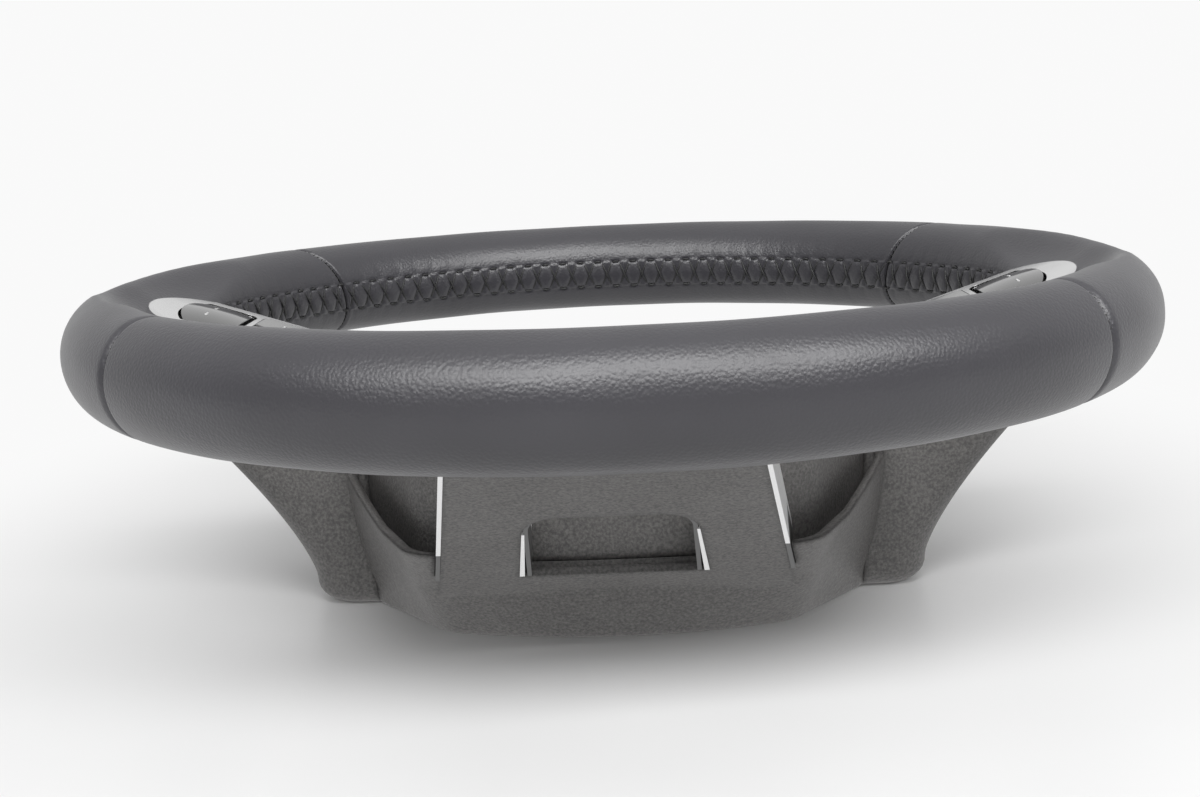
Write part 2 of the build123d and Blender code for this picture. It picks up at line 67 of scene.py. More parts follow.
def newPiece(name, points, quads, material, body, smooth=True):
    # a mesh object at the origin, made of points in millimetres and of quads
    mesh = bpy.data.meshes.new(name)
    mesh.vertices.add(len(points))
    mesh.vertices.foreach_set("co", (points * mm).astype(np.float32).ravel())
    mesh.loops.add(len(quads) * 4)
    mesh.loops.foreach_set("vertex_index", quads.astype(np.int32).ravel())
    mesh.polygons.add(len(quads))
    mesh.polygons.foreach_set("loop_start", np.arange(0, len(quads) * 4, 4, dtype=np.int32))
    mesh.polygons.foreach_set("use_smooth", np.full(len(quads), smooth))
    mesh.update(calc_edges=True)
    mesh.validate()
    mesh.materials.append(material)
    piece = bpy.data.objects.new(name, mesh)
    bpy.context.scene.collection.objects.link(piece)
    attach(piece, body)
    return piece


def weld(piece, gap=0.00002):
    # merges points that lie together and turns the faces outwards
    shell = bmesh.new()
    shell.from_mesh(piece.data)
    bmesh.ops.remove_doubles(shell, verts=shell.verts, dist=gap)
    bmesh.ops.dissolve_degenerate(shell, edges=shell.edges, dist=gap / 4)
    bmesh.ops.recalc_face_normals(shell, faces=shell.faces)
    shell.to_mesh(piece.data)
    shell.free()


def thicken(piece, name, wall):
    # gives an open sheet a wall, in millimetres, on the side that its faces turn away from
    shell = piece.modifiers.new(name, "SOLIDIFY")
    shell.thickness = wall * mm
    shell.offset = -1


def unit(vectors):
    return vectors / np.maximum(np.linalg.norm(vectors, axis=-1, keepdims=True), 1e-9)


def threads(paths, up, radius, sides=6):
    # round threads: a ring of points carried along each path, closed to a point at both ends,
    # where the power blunt says how long the girth stays full
    blunt = 8
    along = unit(np.gradient(paths, axis=1))
    across = unit(np.cross(along, up))
    lift = np.cross(across, along)
    turn = np.linspace(0, 2 * np.pi, sides, endpoint=False)
    steps = np.linspace(0, 1, paths.shape[1])
    girth = radius * np.sqrt(np.clip(1 - np.abs(2 * steps - 1) ** blunt, 0, 1))
    ring = across[:, :, None] * np.cos(turn)[:, None] + lift[:, :, None] * np.sin(turn)[:, None]
    points = paths[:, :, None] + ring * girth[:, None, None]
    count, rows = paths.shape[:2]
    quads = gridQuads(rows, sides, closeCols=True)
    starts = np.arange(count) * rows * sides
    return points.reshape(-1, 3), (quads[None] + starts[:, None, None]).reshape(-1, 4)


def smoothStep(share):
    share = np.clip(share, 0, 1)
    return share * share * (3 - 2 * share)


# finishes

# the part of a noise texture's values that nearly all of its surface has
cloudRange = (0.3, 0.7)


def newFinish(name, color, roughness, metallic=0.0, specular=0.5):
    material = bpy.data.materials.new(name)
    material.use_nodes = True
    tree = material.node_tree
    shader = tree.nodes["Principled BSDF"]
    shader.inputs["Base Color"].default_value = (*color, 1)
    shader.inputs["Roughness"].default_value = roughness
    shader.inputs["Metallic"].default_value = metallic
    shader.inputs["Specular IOR Level"].default_value = specular
    return material, tree, shader


def texture(tree, kind, scale, **settings):
    # a texture read at the piece's own coordinates, its scale counted per metre
    place = tree.nodes.new("ShaderNodeTexCoord")
    node = tree.nodes.new(kind)
    node.inputs["Scale"].default_value = scale
    for key, value in settings.items():
        if key in node.inputs:
            node.inputs[key].default_value = value
        else:
            setattr(node, key, value)
    tree.links.new(place.outputs["Object"], node.inputs["Vector"])
    return node


def ramp(tree, source, low, high, lowColor, highColor):
    node = tree.nodes.new("ShaderNodeValToRGB")
    node.color_ramp.elements[0].position = low
    node.color_ramp.elements[1].position = high
    node.color_ramp.elements[0].color = (*lowColor, 1)
    node.color_ramp.elements[1].color = (*highColor, 1)
    tree.links.new(source, node.inputs["Fac"])
    return node.outputs["Color"]


def bump(tree, shader, height, strength, distance, under=None):
    node = tree.nodes.new("ShaderNodeBump")
    node.inputs["Strength"].default_value = strength
    node.inputs["Distance"].default_value = distance
    tree.links.new(height, node.inputs["Height"])
    if under is not None:
        tree.links.new(under.outputs["Normal"], node.inputs["Normal"])
    tree.links.new(node.outputs["Normal"], shader.inputs["Normal"])
    return node


def grey(level):
    return (level, level, level)


def leatherFinish():
    # pebbled hide: small rounded cells with creases between them over a slow change of tone
    look = dict(
        tone=(0.033, 0.032, 0.038), dark=(0.026, 0.025, 0.030), roughness=0.38, matt=0.42, shiny=0.36,
        specular=0.7, sheen=0.08, sheenRoughness=0.4, clouds=22, cells=1000, cellBlend=0.5, pores=2600,
        cellBump=0.2, cellDepth=-0.0005, poreBump=0.12, poreDepth=0.0003,
    )
    material, tree, shader = newFinish("black_hide", look["tone"], look["roughness"],
                                       specular=look["specular"])
    shader.inputs["Sheen Weight"].default_value = look["sheen"]
    shader.inputs["Sheen Roughness"].default_value = look["sheenRoughness"]
    clouds = texture(tree, "ShaderNodeTexNoise", look["clouds"], Detail=3.0)
    color = ramp(tree, clouds.outputs["Fac"], *cloudRange, look["dark"], look["tone"])
    tree.links.new(color, shader.inputs["Base Color"])
    polish = ramp(tree, clouds.outputs["Fac"], *cloudRange, grey(look["matt"]), grey(look["shiny"]))
    tree.links.new(polish, shader.inputs["Roughness"])
    cells = texture(tree, "ShaderNodeTexVoronoi", look["cells"], feature="SMOOTH_F1",
                    Smoothness=look["cellBlend"])
    pores = texture(tree, "ShaderNodeTexNoise", look["pores"], Detail=2.0)
    fine = bump(tree, shader, pores.outputs["Fac"], look["poreBump"], look["poreDepth"])
    bump(tree, shader, cells.outputs["Distance"], look["cellBump"], look["cellDepth"], under=fine)
    return material


def grainFinish():
    # moulded plastic with a sandy erosion grain and moulded edges that are rounded, with painted sparkle:
    # pale specks on dark, paler on the grain's tops and darker in its hollows
    look = dict(
        tone=(0.134, 0.129, 0.125), dark=(0.057, 0.055, 0.054), roughness=0.5, matt=0.56, shiny=0.46,
        grain=1000, paintedSparkle=(0.34, 0.72), clouds=30, edge=0.004, edgeSamples=6, relief=0.4, depth=0.0006,
    )
    material, tree, shader = newFinish("grained_plastic", look["tone"], look["roughness"])
    grain = texture(tree, "ShaderNodeTexNoise", look["grain"], Detail=2.0, Roughness=0.6)
    # the colour follows the grain's relief: painted sparkle on its tops and painted shade in its hollows
    color = ramp(tree, grain.outputs["Fac"], *look["paintedSparkle"], look["dark"], look["tone"])
    tree.links.new(color, shader.inputs["Base Color"])
    clouds = texture(tree, "ShaderNodeTexNoise", look["clouds"], Detail=3.0)
    polish = ramp(tree, clouds.outputs["Fac"], *cloudRange, grey(look["matt"]), grey(look["shiny"]))
    tree.links.new(polish, shader.inputs["Roughness"])
    edge = tree.nodes.new("ShaderNodeBevel")
    edge.samples = look["edgeSamples"]
    edge.inputs["Radius"].default_value = look["edge"]
    bump(tree, shader, grain.outputs["Fac"], look["relief"], look["depth"], under=edge)
    return material


def metalFinish(name, tone, roughness, streaks):
    # bright metal whose gloss changes a little from place to place
    shiny, matt = roughness * 0.8, roughness * 1.3
    material, tree, shader = newFinish(name, tone, roughness, metallic=1.0)
    clouds = texture(tree, "ShaderNodeTexNoise", streaks, Detail=4.0)
    polish = ramp(tree, clouds.outputs["Fac"], *cloudRange, grey(shiny), grey(matt))
    tree.links.new(polish, shader.inputs["Roughness"])
    return material


def plainFinish(name, tone, roughness, scale, relief, depth=0.0004, detail=3.0, metallic=0.0):
    # one tone with a fine relief
    material, tree, shader = newFinish(name, tone, roughness, metallic)
    skin = texture(tree, "ShaderNodeTexNoise", scale, Detail=detail)
    bump(tree, shader, skin.outputs["Fac"], relief, depth)
    return material


def keyFinish():
    # polished dark keys with the faint unevenness of a lens
    look = dict(
        tone=0.035, roughness=0.1, coat=0.6, coatRoughness=0.04, waves=60, relief=0.05, depth=0.0004,
    )
    material, tree, shader = newFinish("gloss_key", grey(look["tone"]), look["roughness"])
    shader.inputs["Coat Weight"].default_value = look["coat"]
    shader.inputs["Coat Roughness"].default_value = look["coatRoughness"]
    waves = texture(tree, "ShaderNodeTexNoise", look["waves"], Detail=1.0)
    bump(tree, shader, waves.outputs["Fac"], look["relief"], look["depth"])
    return material


def below(tree, source, limit):
    # 1 where a number of the surface lies under a limit
    node = tree.nodes.new("ShaderNodeMath")
    node.operation = "LESS_THAN"
    node.inputs[1].default_value = limit
    tree.links.new(source, node.inputs[0])
    return node.outputs[0]


def joined(tree, operation, first, second):
    node = tree.nodes.new("ShaderNodeMath")
    node.operation = operation
    tree.links.new(first, node.inputs[0])
    tree.links.new(second, node.inputs[1])
    return node.outputs[0]


def bareMask(tree, bare):
    # 1 below a height of the spoke, on the trim's low ends and on its walls between the spoke's sides
    place = tree.nodes.new("ShaderNodeTexCoord").outputs["Object"]

    def under(way):
        measure = tree.nodes.new("ShaderNodeVectorMath")
        measure.operation = "DOT_PRODUCT"
        measure.inputs[1].default_value = spoke[way]
        tree.links.new(place, measure.inputs[0])
        root = float(np.dot(spoke[way], spoke["root"]))
        return below(tree, measure.outputs["Value"], (root + bare[way]) * mm)

    parts = tree.nodes.new("ShaderNodeSeparateXYZ")
    tree.links.new(place, parts.inputs[0])
    aside = tree.nodes.new("ShaderNodeMath")
    aside.operation = "ABSOLUTE"
    tree.links.new(parts.outputs["X"], aside.inputs[0])
    inside = below(tree, aside.outputs[0], bare["across"] * mm)
    return joined(tree, "MULTIPLY", under("up"), joined(tree, "MAXIMUM", under("along"), inside))


def paintFinish(name, bare=None):
    # satin silver paint with fine flakes, with bare plastic where the limits in bare say so
    look = dict(tone=0.90, dark=0.82, roughness=0.34, flakes=3000, spread=(0.35, 0.65), plastic=0.07)
    material, tree, shader = newFinish(name, grey(look["tone"]), look["roughness"])
    flakes = texture(tree, "ShaderNodeTexNoise", look["flakes"], Detail=2.0)
    color = ramp(tree, flakes.outputs["Fac"], *look["spread"], grey(look["dark"]), grey(look["tone"]))
    if bare:
        mix = tree.nodes.new("ShaderNodeMix")
        mix.data_type = "RGBA"
        mix.inputs["B"].default_value = (*grey(look["plastic"]), 1)
        tree.links.new(bareMask(tree, bare), mix.inputs["Factor"])
        tree.links.new(color, mix.inputs["A"])
        color = mix.outputs["Result"]
    tree.links.new(color, shader.inputs["Base Color"])
    return material


hide = leatherFinish()
grain = grainFinish()
chrome = metalFinish("bright_metal", grey(0.82), 0.16, 90)
silver = paintFinish("satin_silver")
trimSilver = paintFinish("trim_silver", bare=dict(up=13.6, along=30.0, across=30.0))
steel = metalFinish("plated_steel", grey(0.55), 0.35, 200)
cast = plainFinish("cast_metal", grey(0.5), 0.5, 420, 0.3, depth=0.0006, detail=4.0, metallic=1.0)
foam = plainFinish("moulded_foam", grey(0.02), 0.8, 700, 0.4, depth=0.0005, detail=2.0)
gloss = keyFinish()
threadBlack = plainFinish("black_thread", grey(0.018), 0.5, 2500, 0.5)
innerPlastic = plainFinish("inner_plastic", grey(0.03), 0.55, 900, 0.2)
boardGreen = plainFinish("board_green", (0.02, 0.11, 0.045), 0.4, 600, 0.15)
cloth = plainFinish("folded_cloth", (0.62, 0.62, 0.58), 0.8, 1500, 0.6)
print("finishes made")

# the finish of each node that is shown as it is
nodeFinish = {
    "armature": cast, "rear_cover": grain, "airbag_cover": grain,
    "lower_spoke_trim": trimSilver, "airbag_cushion": cloth,
}
for node in ("hub_sleeve", "airbag_carrier", "inflator", "inflator_nuts", "horn_guide_pins",
             "rear_cover_screws"):
    nodeFinish[node] = steel
for side in ("left", "right"):
    nodeFinish[side + "_bezel"] = chrome
    nodeFinish[side + "_switch_housing"] = innerPlastic
    nodeFinish[side + "_circuit_board"] = boardGreen
    for key in ("thumb_rocker", "upper_button", "lower_button"):
        nodeFinish[side + "_" + key] = gloss
for node, material in nodeFinish.items():
    nodes[node].data.materials.clear()
    nodes[node].data.materials.append(material)


# rim leather, in millimetres

topLow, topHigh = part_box("leather_top")
rim = dict(
    width=33.0,
    depth=(topHigh.z - topLow.z) / mm,
    outerRadius=topHigh.y / mm,
    height=(topHigh.z + topLow.z) / 2 / mm,
    slitDrop=2.5,          # the lacing runs this far under the rim's middle
    thickness=1.3,
)
rim["half"] = rim["width"] / 2
rim["middle"] = rim["outerRadius"] - rim["half"]
rim["inner"] = rim["outerRadius"] - rim["width"]
rim["slit"] = np.pi + math.asin(rim["slitDrop"] / (rim["depth"] / 2))

lacing = dict(
    stitches=122,          # stitches round the whole rim
    halfBand=5.9,          # from the slit to the holes
    lean=0.31,             # share of a stitch by which each thread leans
    threadRadius=0.4,
    groove=0.32, grooveWidth=0.6,
    pillow=0.38, pillowFoot=0.3, pillowRise=2.0,
    bandEnd=1.08, bandFade=0.16,
    hole=0.55, holeWidth=0.75, holeLead=0.06, holeFade=0.08,
    gather=0.32, gatherWidth=0.16, gatherFade=3.5,
    sideSpokeHalf=12.0,    # degrees beside 3 and 9 o'clock with no lacing
    lowerSpokeHalf=18.0,   # degrees beside 6 o'clock with no lacing
    fade=1.2,              # degrees over which it starts
)
lacing["pitch"] = 2 * np.pi * rim["inner"] / lacing["stitches"]

bezel = dict(slope=0.33, rimHeight=10.4, rimOffset=5.0, tipLap=10.0, half=28.0, tipRadius=31.56)
bezel["tipX"] = rim["inner"] + bezel["tipLap"]
bezel["run"] = math.cos(math.atan(bezel["slope"]))
# the dish round each bezel: drops under the bezel's top, slopes away from it, and where the dish ends
dish = dict(
    nearDrop=5.2, farDrop=2.8, under=5.6, lip=1.4,
    outSlope=0.20, outCurve=0.013, sideSlope=0.10, sideCurve=0.0065, blend=4.5,
    sideSpan=24.0, sideShift=0.75, dropHalf=12.0, reachDown=8.0, pocketEdge=2.0,
    hiddenIn=2.6, hiddenDown=6.0,
)

# how each sewn end turns in: depth and width of the turn
crispEnd = dict(dip=1.3, reach=0.55)
softEnd = dict(dip=1.5, reach=1.7)
fineEnd = dict(dip=1.0, reach=0.6)
seamGap = 0.3
farSlant = dict(turn=5.5, reach=10.0)   # degrees
panels = {
    "leather_bottom": dict(start=220.0, end=320.0, first=crispEnd, last=crispEnd),
    "leather_right": dict(start=-40.0, end=43.0, first=softEnd, last=fineEnd),
    "leather_top": dict(start=43.0, end=137.0, first=fineEnd, last=fineEnd),
    "leather_left": dict(start=137.0, end=220.0, first=fineEnd, last=softEnd),
}


def spokeFade(theta):
    # 1 where the rim is laced, 0 beside the spokes
    degrees = np.degrees(theta) % 360

    def apart(centre):
        return np.abs((degrees - centre + 180) % 360 - 180)

    gap = np.minimum(np.minimum(apart(0), apart(180)) - lacing["sideSpokeHalf"],
                     apart(270) - lacing["lowerSpokeHalf"])
    return smoothStep(gap / lacing["fade"])


def laceRelief(theta, offset):
    # leather pulled by the lacing: grooves under the threads, six-sided pillows between them,
    # and soft gathers that fade away from the holes
    along = (theta * rim["inner"] / lacing["pitch"]) % 1.0
    level = np.abs(offset) / lacing["halfBand"]
    beyond = np.abs(offset) - lacing["halfBand"]
    fromCross = np.minimum(along, 1 - along)
    near = np.abs(fromCross - lacing["lean"] * np.minimum(level, 1)) * lacing["pitch"]
    inside = smoothStep((lacing["bandEnd"] - level) / lacing["bandFade"])
    relief = -lacing["groove"] * np.exp(-(near / lacing["grooveWidth"]) ** 2) * inside
    relief += lacing["pillow"] * smoothStep((near - lacing["pillowFoot"]) / lacing["pillowRise"]) * inside
    dash = smoothStep((fromCross - lacing["lean"] + lacing["holeLead"]) / lacing["holeFade"])
    relief -= lacing["hole"] * dash * np.exp(-(beyond / lacing["holeWidth"]) ** 2)
    gather = lacing["gather"] * np.exp(-(fromCross / lacing["gatherWidth"]) ** 2)
    relief -= gather * np.exp(-np.clip(beyond, 0, None) / lacing["gatherFade"]) * (level > 1)
    return relief * spokeFade(theta)


def seamSlant(theta, phi):
    # the two far seams run aslant: over the rim's top they lie some degrees further from 12 o'clock
    degrees = np.degrees(theta) % 360
    over = 0.5 + 0.5 * np.cos(phi - np.pi / 4)
    left = np.exp(-((degrees - panels["leather_left"]["start"]) / farSlant["reach"]) ** 2)
    right = np.exp(-((degrees - panels["leather_right"]["end"]) / farSlant["reach"]) ** 2)
    return theta + np.radians(farSlant["turn"]) * (left - right) * over


def rimSurface(theta, phi, lift):
    # the oval section turned round the axis; lift stands along the section's own normal
    half, tall = rim["half"], rim["depth"] / 2
    theta = seamSlant(theta, phi)
    normal = unit(np.stack([np.cos(phi) / half, np.sin(phi) / tall], axis=-1))
    radius = rim["middle"] + half * np.cos(phi) + lift * normal[..., 0]
    height = rim["height"] + tall * np.sin(phi) + lift * normal[..., 1]
    return np.stack([radius * np.cos(theta), radius * np.sin(theta), height], axis=-1)


def bezelGap(points):
    # distance outside the bezel's outline, a disc cut by two straight sides, and how far it is sideways
    along = (np.abs(points[..., 0]) - bezel["tipX"]) / bezel["run"] + bezel["tipRadius"]
    disc = np.hypot(np.maximum(along, 0), points[..., 1]) - bezel["tipRadius"]
    strip = np.abs(points[..., 1]) - bezel["half"]
    sideways = smoothStep((strip - disc) / dish["sideSpan"] + dish["sideShift"])
    return np.maximum(disc, strip), sideways


def dished(points, sink=0.0, pocket=0.0):
    # the rim's top drawn down in a smooth dish to the bezel's edge, blended by a smooth minimum
    gap, sideways = bezelGap(points)
    out = np.clip(gap, 0, None)
    top = rim["height"] + bezel["rimHeight"]
    top = top - bezel["slope"] * (rim["inner"] + bezel["rimOffset"] - np.abs(points[..., 0]))
    further = smoothStep((points[..., 1] + dish["dropHalf"]) / (2 * dish["dropHalf"]))
    drop = dish["nearDrop"] + (dish["farDrop"] - dish["nearDrop"]) * further
    drop = dish["under"] + (drop - dish["under"]) * smoothStep(gap / dish["lip"])
    slope = dish["outSlope"] + (dish["sideSlope"] - dish["outSlope"]) * sideways
    curve = dish["outCurve"] + (dish["sideCurve"] - dish["outCurve"]) * sideways
    floor = top - drop + slope * out + curve * out ** 2 - sink
    floor = floor - pocket * smoothStep(-gap / dish["pocketEdge"])
    z = points[..., 2]
    mix = np.clip(0.5 + 0.5 * (floor - z) / dish["blend"], 0, 1)
    lowered = floor * (1 - mix) + z * mix - dish["blend"] * mix * (1 - mix)
    shaped = points.copy()
    shaped[..., 2] = np.where(z > rim["height"] - dish["reachDown"], np.minimum(lowered, z), z)
    return shaped


def endTurn(arc, end):
    # how far the leather turns in, by the distance from its sewn end
    return -end["dip"] * np.exp(-(arc / end["reach"]) ** 2)


def outwardFaces(piece, points):
    # turns the faces over if a sample of them, away from the lacing, points into the section
    row, col = 5, 58
    spot = points[row, col]
    side = np.cross(points[row + 1, col] - spot, points[row, col + 1] - spot)
    if side @ (spot - points[row].mean(axis=0)) < 0:
        piece.data.flip_normals()


def hideWaves(theta, phi):
    # the faint unevenness of drawn hide: two crossing waves, in millimetres
    return 0.1 * np.sin(theta * 17 + 2 * np.sin(phi * 2)) * np.sin(phi * 3 + theta * 5)


def rimPanel(name, start, end, first, last):
    # a sleeve of leather: fine rows at its sewn ends and beside the slit, dished where it meets a bezel
    fine = dict(firstStep=0.15, lastStep=1.0, endSteps=11, band=9.5, bandCols=24, restCols=74, settle=2.0)
    middle = rim["middle"]
    length = math.radians(end - start) * middle - 2 * seamGap
    edge = np.cumsum(np.linspace(fine["firstStep"], fine["lastStep"], fine["endSteps"]))
    body = np.linspace(edge[-1], length - edge[-1], int(length - 2 * edge[-1]) + 1)
    arc = np.concatenate([[0], edge[:-1], body, length - edge[-2::-1], [length]])
    theta = math.radians(start) + (arc + seamGap) / middle
    tall = rim["depth"] / 2
    band = np.linspace(0, fine["band"], fine["bandCols"]) / tall
    rest = np.linspace(band[-1], 2 * np.pi - band[-1], fine["restCols"])
    phi = rim["slit"] + np.concatenate([band[:-1], rest, 2 * np.pi - band[-2:0:-1]])
    offset = (rim["slit"] - phi) * tall
    offset = np.where(offset < -np.pi * tall, offset + 2 * np.pi * tall, offset)
    gridTheta, gridPhi = np.meshgrid(theta, phi, indexing="ij")
    fromEnd = np.minimum(arc, length - arc)[:, None]
    lift = laceRelief(gridTheta, offset[None, :]) * smoothStep(fromEnd / fine["settle"])
    lift = lift + endTurn(arc[:, None], first) + endTurn(length - arc[:, None], last)
    points = rimSurface(gridTheta, gridPhi, lift + hideWaves(gridTheta, gridPhi))
    quads = gridQuads(len(theta), len(phi), closeCols=True)
    if first is softEnd or last is softEnd:
        points = dished(points)
        gap, _ = bezelGap(points)
        hidden = (gap < -dish["hiddenIn"]) & (points[..., 2] > rim["height"] - dish["hiddenDown"])
        quads = quads[~hidden.reshape(-1)[quads].any(axis=1)]
    piece = newPiece(name + "_skin", points.reshape(-1, 3), quads, hide, "wheel")
    outwardFaces(piece, points)
    thicken(piece, "hide_thickness", rim["thickness"])
    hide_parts(name)


for panel, cut in panels.items():
    rimPanel(panel, **cut)
print("rim leather made")


def rimCore():
    # the foam under the leather: the same section set in, with its dishes and a pocket for each housing
    core = dict(play=0.5, pocket=9.0, rows=360, cols=60)
    inset = rim["thickness"] + core["play"]
    theta = np.linspace(0, 2 * np.pi, core["rows"], endpoint=False)
    phi = np.linspace(0, 2 * np.pi, core["cols"], endpoint=False)
    gridTheta, gridPhi = np.meshgrid(theta, phi, indexing="ij")
    points = rimSurface(gridTheta, gridPhi, -inset * np.ones_like(gridTheta))
    points = dished(points, sink=inset, pocket=core["pocket"])
    points = np.concatenate([points, points[:1]])
    quads = gridQuads(len(points), len(phi), closeCols=True)
    piece = newPiece("rim_foam_core", points.reshape(-1, 3), quads, foam, "wheel")
    weld(piece)
    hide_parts("rim_foam")


rimCore()
print("rim foam made")


def lacePoints(along, offset, lift):
    # points on the laced inner side, by the count of stitches round the rim and the distance from the slit
    theta = along * lacing["pitch"] / rim["inner"]
    phi = rim["slit"] - offset / (rim["depth"] / 2)
    return rimSurface(theta, phi, lift)


def inwards(paths):
    # the way from each point to the wheel's axis, which is up for the inner side
    return unit(paths * [-1, -1, 0])


def makeLacing():
    # threads cross at the slit between two pillows and lie in short dashes along both rows of holes
    cross = dict(sink=0.75, rise=0.55, upper=0.55, lower=0.15)
    dash = dict(sink=0.8, rise=0.75, inset=0.5, bow=0.6)
    number = np.arange(lacing["stitches"])
    laced = spokeFade(number * lacing["pitch"] / rim["inner"]) > 0.95
    number = number[laced][:, None]
    share = np.linspace(0, 1, 9)
    swell = np.sin(np.pi * share)
    lean, reach = lacing["lean"], lacing["halfBand"]
    paths = []
    for turn, over in ((1, cross["upper"]), (-1, cross["lower"])):
        along = number + turn * lean * (1 - 2 * share)
        offset = reach * (1 - 2 * share) + 0 * along
        lift = -cross["sink"] + swell ** 0.5 * (cross["rise"] + over * swell ** 3)
        paths.append(lacePoints(along, offset, lift + 0 * along))
    for row in (1, -1):
        along = number + lean + (1 - 2 * lean) * share
        offset = row * (reach - dash["inset"] + dash["bow"] * swell ** 0.6) + 0 * along
        lift = -dash["sink"] + dash["rise"] * swell ** 0.4
        paths.append(lacePoints(along, offset, lift + 0 * along))
    paths = np.concatenate(paths)
    points, quads = threads(paths, inwards(paths), lacing["threadRadius"])
    piece = newPiece("rim_lacing", points, quads, threadBlack, "wheel")
    weld(piece)


makeLacing()
print("lacing made")


def seamStitches():
    # short threads that cross each seam, along the part of the section that a sewer can reach
    sewn = dict(pitch=2.1, length=2.0, radius=0.26, start=20.0, end=340.0, sink=0.75, tuck=0.5)
    tall = rim["depth"] / 2
    count = int(math.radians(sewn["end"] - sewn["start"]) * tall / sewn["pitch"])
    phi = np.radians(np.linspace(sewn["start"], sewn["end"], count)) + rim["slit"]
    share, phi = np.meshgrid(np.linspace(-0.5, 0.5, 7), phi)
    lift = -sewn["sink"] - sewn["tuck"] * (2 * share) ** 4
    paths = []
    for cut in panels.values():
        theta = math.radians(cut["start"]) + share * sewn["length"] / rim["middle"]
        paths.append(rimSurface(theta, phi, lift))
    paths = np.concatenate(paths)
    centre = unit(paths * [1, 1, 0]) * rim["middle"] + [0, 0, rim["height"]]
    points, quads = threads(paths, unit(paths - centre), sewn["radius"], sides=5)
    piece = newPiece("seam_stitches", points, quads, threadBlack, "wheel")
    weld(piece)


seamStitches()
print("seams sewn")


# rear cover's wings and the lower spoke's window, in millimetres

wings = dict(
    root=86.0, heel=9.0, heelRound=8.0, baseReach=109.5, rimLap=15.5, flare=1.35,
    baseHalf=34.6, topHalf=31.1, corner=14.6, cornerDraw=0.7, topDrop=10.0, wall=2.0, edgeDrop=20.0,
    sideCols=14, cornerCols=9, endCols=14, heelRows=8, heelShare=0.1, wallRows=40, settleRounds=20,
)


def wingShell(side, sign):
    # a rounded tongue in plan whose reach grows with height, drawn in at the heel and cut under the bezel
    top = rim["height"] - wings["topDrop"]
    edge = np.linspace(0, 1, wings["sideCols"])
    turn = np.linspace(0, np.pi / 2, wings["cornerCols"] + 1)[1:]
    end = np.linspace(-1, 1, wings["endCols"] + 2)[1:-1]
    zero, one = np.zeros_like, np.ones_like
    # from the front root round to the back one: the share of the straight side that is passed,
    # the corner's turn, and the place across from -1 to 1
    run = np.concatenate([edge, one(turn), one(end), one(turn), edge[::-1]])
    bend = np.concatenate([zero(edge), turn, one(end) * np.pi / 2, turn[::-1], zero(edge)])
    wide = np.concatenate([-one(edge), -one(turn), end, one(turn), one(edge)])

    def outline(level):
        share = np.clip((level - wings["heel"]) / (top - wings["heel"]), 0, 1)
        deep = np.clip(wings["heelRound"] - level, 0, None)
        draw = wings["heelRound"] - np.sqrt(np.clip(wings["heelRound"] ** 2 - deep ** 2, 0, None))
        rimReach = rim["inner"] + wings["rimLap"]
        reach = wings["baseReach"] + (rimReach - wings["baseReach"]) * share ** wings["flare"] - draw
        half = wings["baseHalf"] + (wings["topHalf"] - wings["baseHalf"]) * share - draw
        corner = wings["corner"] - wings["cornerDraw"] * draw
        x = wings["root"] + run * (reach - corner - wings["root"]) + corner * np.sin(bend)
        y = wide * (half - corner + corner * np.cos(bend))
        return x, y

    # the upper edge follows the bezel's slope, found in rounds because the reach depends on it
    height = np.full(len(run), top)
    for _ in range(wings["settleRounds"]):
        inset = rim["inner"] + bezel["rimOffset"] - outline(height)[0]
        under = rim["height"] + bezel["rimHeight"] - wings["edgeDrop"] - bezel["slope"] * inset
        height = np.minimum(top, under)
    heel = np.linspace(0, 1, wings["heelRows"], endpoint=False) ** 2 * wings["heelShare"]
    rows = np.concatenate([heel, np.linspace(wings["heelShare"], 1, wings["wallRows"])])
    level = rows[:, None] * height
    x, y = outline(level)
    points = np.stack([sign * x, y, level], axis=-1)
    quads = gridQuads(*level.shape)
    if sign > 0:
        quads = quads[:, ::-1]
    piece = newPiece(side + "_wing_shell", points.reshape(-1, 3), quads, grain, "wheel")
    thicken(piece, "shell_wall", wings["wall"])


wingShell("left", -1)
wingShell("right", 1)
print("wings made")


def onSpoke(across, along, up):
    # points given by the lower spoke's own axes
    across, along, up = np.broadcast_arrays(across, along, up)
    return (np.array(spoke["root"]) + across[..., None] * np.array([1.0, 0, 0])
            + along[..., None] * np.array(spoke["along"]) + up[..., None] * np.array(spoke["up"]))


def barRows(steps):
    # shares along a bar with one row more at each end, and a 0 for those two rows,
    # where the section closes to a point
    share = np.concatenate([[0], np.linspace(0, 1, steps), [1]])[:, None]
    full = np.ones_like(share)
    full[[0, -1]] = 0
    return share, full


def windowStrips():
    # bright strips on both sides of the window: a flat section carried up each side, thinner to its end
    strip = dict(
        near=11.7, far=44.0, nearHalf=29.5, inset=0.05, slope=-4.5 / 43.5,
        wide=1.6, narrow=0.9, proud=0.25, depth=13.0, rows=16,
    )
    share, full = barRows(strip["rows"])
    along = strip["near"] + (strip["far"] - strip["near"]) * share
    outer = strip["nearHalf"] - strip["inset"] + strip["slope"] * (along - strip["near"])
    thick = strip["wide"] + (strip["narrow"] - strip["wide"]) * share
    across = 0.5 + (np.array([0, 0, 1, 1]) - 0.5) * full
    up = np.array([0, 1, 1, 0]) * (strip["depth"] + strip["proud"]) - strip["proud"]
    lift = strip["depth"] / 2 + (up - strip["depth"] / 2) * full
    sides = [onSpoke(sign * (outer - thick * across), along, lift) for sign in (-1, 1)]
    quads = gridQuads(len(share), 4, closeCols=True)
    quads = np.concatenate([quads, quads + along.size * 4])
    piece = newPiece("window_strips", np.concatenate(sides).reshape(-1, 3), quads, silver,
                     "wheel", smooth=False)
    weld(piece)


